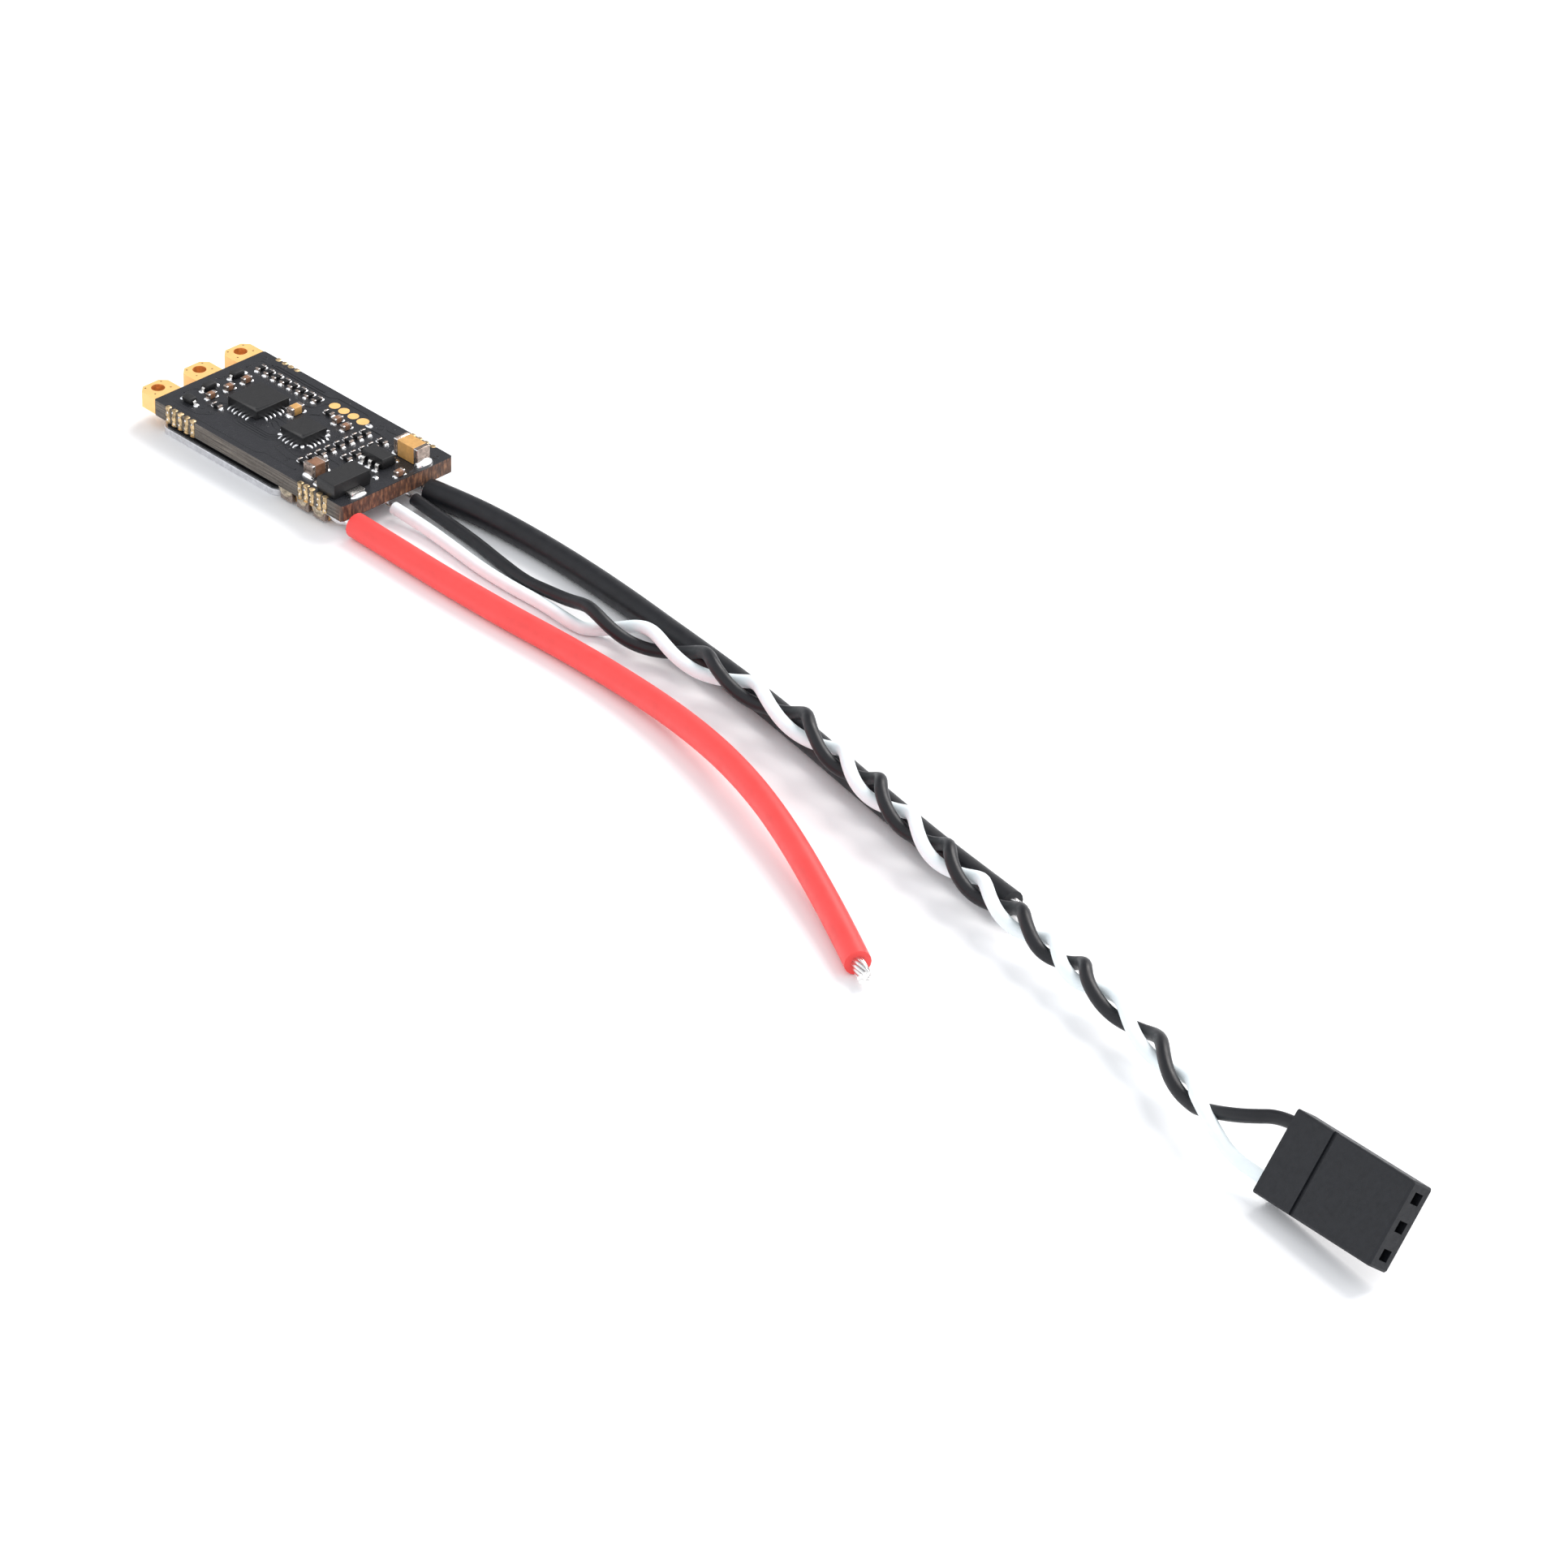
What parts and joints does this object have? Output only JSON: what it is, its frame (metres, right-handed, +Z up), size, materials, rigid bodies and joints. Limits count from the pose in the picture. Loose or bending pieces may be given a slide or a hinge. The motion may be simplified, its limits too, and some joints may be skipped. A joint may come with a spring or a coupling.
{
  "type": "electronic speed controller",
  "caption": "Small brushless-motor speed controller board with plated phase tabs, a heat-sink plate below, stripped power leads and a twisted signal pair ending in a flat socket.",
  "frame": {"origin": "under the middle of the board assembly with its tabs, on the surface that the heat-sink plate rests on", "axes": "+X along the board from the phase tabs to the power end, +Y across the board, +Z up out of the component side"},
  "size_m": [0.1693, 0.0302, 0.0085],
  "materials": {
    "laminate": "glass-epoxy edge, matt, speckled",
    "solder_mask": "black solder mask, semi-gloss",
    "gold_plating": "immersion gold over copper, satin",
    "solder": "solder, bright, uneven",
    "tinned_lead": "tinned terminations, satin",
    "chip_epoxy": "moulding compound, fine matt grain",
    "resistor_glass": "overglazed thick film, gloss",
    "brown_ceramic": "fired ceramic, satin",
    "tan_ceramic": "fired ceramic, satin",
    "heat_sink_metal": "black anodised top, milled edge",
    "thermal_rubber": "filled silicone pad, matt",
    "red_silicone": "silicone insulation, soft sheen",
    "black_silicone": "silicone insulation, soft sheen",
    "white_silicone": "silicone insulation, soft sheen",
    "plug_nylon": "moulded nylon, fine grain",
    "contact_metal": "gold-flashed contact",
    "tinned_copper": "tinned strands"
  },
  "bodies": {
    "root": {"black_signal_tail": "black_silicone", "black_signal_wire": "black_silicone", "board_laminate": "laminate", "bootstrap_capacitors": "brown_ceramic", "bootstrap_diode_leads": "tinned_lead", "bootstrap_diodes": "chip_epoxy", "bottom_capacitor_solder": "solder", "bottom_capacitor_terminals": "tinned_lead", "bottom_capacitors": "tan_ceramic", "capacitor_solder": "solder", "capacitor_terminals": "tinned_lead", "chip_resistor_solder": "solder", "chip_resistor_terminals": "tinned_lead", "chip_resistors": "resistor_glass", "driver_supply_capacitor": "tan_ceramic", "edge_castellations": "gold_plating", "filter_capacitors": "brown_ceramic", "gate_driver": "chip_epoxy", "gate_driver_solder": "solder", "heat_sink_plate": "heat_sink_metal", "input_capacitor": "tan_ceramic", "lead_pads": "solder", "logic_chip": "chip_epoxy", "logic_chip_leads": "tinned_lead", "microcontroller": "chip_epoxy", "microcontroller_solder": "solder", "negative_conductor": "tinned_copper", "negative_lead": "black_silicone", "negative_lead_tip": "tinned_copper", "negative_solder_joint": "solder", "phase_tab_a": "gold_plating", "phase_tab_b": "gold_plating", "phase_tab_c": "gold_plating", "plug_contacts": "contact_metal", "plug_housing": "plug_nylon", "positive_conductor": "tinned_copper", "positive_lead": "red_silicone", "positive_lead_tip": "tinned_copper", "positive_solder_joint": "solder", "power_transistor_leads": "tinned_lead", "power_transistors": "chip_epoxy", "regulator_capacitor": "brown_ceramic", "signal_conductors": "tinned_copper", "signal_pair_twist": "white_silicone", "signal_solder_joints": "solder", "solder_mask_bottom": "solder_mask", "solder_mask_top": "solder_mask", "test_pads": "gold_plating", "thermal_pad": "thermal_rubber", "tinned_pad": "solder", "voltage_regulator": "chip_epoxy", "voltage_regulator_leads": "tinned_lead", "white_signal_tail": "white_silicone", "white_signal_wire": "white_silicone"}
  },
  "joints": []
}
